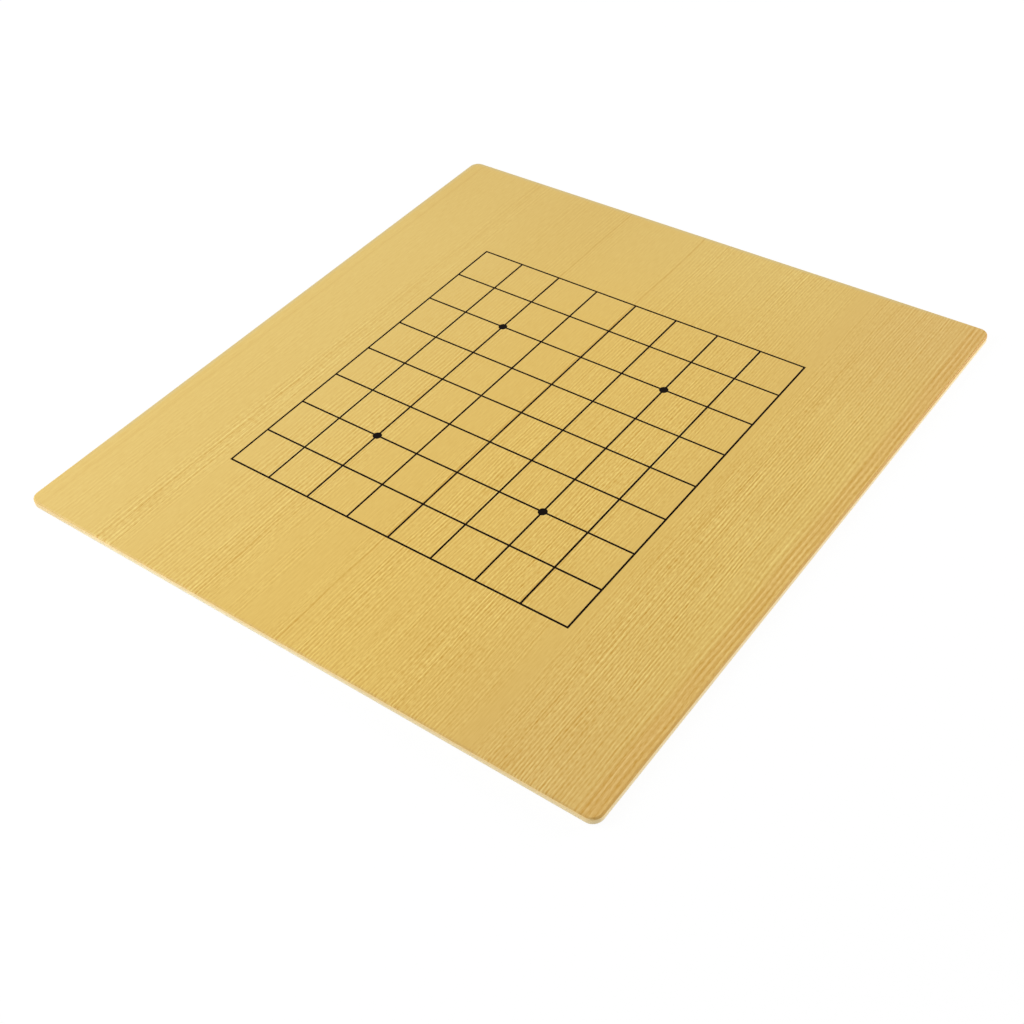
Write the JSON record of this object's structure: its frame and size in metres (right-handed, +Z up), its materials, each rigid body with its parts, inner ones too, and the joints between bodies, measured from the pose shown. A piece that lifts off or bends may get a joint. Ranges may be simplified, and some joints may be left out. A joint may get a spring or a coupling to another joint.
{
  "type": "weiqi board",
  "caption": "Thin rigid double-sided weiqi board with a wood-grain face, rounded corners and printed black playing lines.",
  "frame": {"origin": "middle of the underside, which is the 13-line face", "axes": "+Y from the near player to the far one, along the grain; +X to the right of the near player; +Z up, out of the 9-line face"},
  "size_m": [0.31, 0.33, 0.004],
  "materials": {
    "fibreboard": "bare pressed fibreboard, hidden inside",
    "edge_strip": "pale cream strip, satin",
    "wood_grain_sheet": "straight quarter-sawn wood grain under a satin film",
    "black_ink": "warm black printing ink, satin"
  },
  "bodies": {
    "root": {"core_panel": "fibreboard", "edge_band": "edge_strip", "front_face_sheet": "wood_grain_sheet", "back_face_sheet": "wood_grain_sheet", "front_grid_lines": "black_ink", "front_star_points": "black_ink", "back_grid_lines": "black_ink", "back_star_points": "black_ink"}
  },
  "joints": []
}
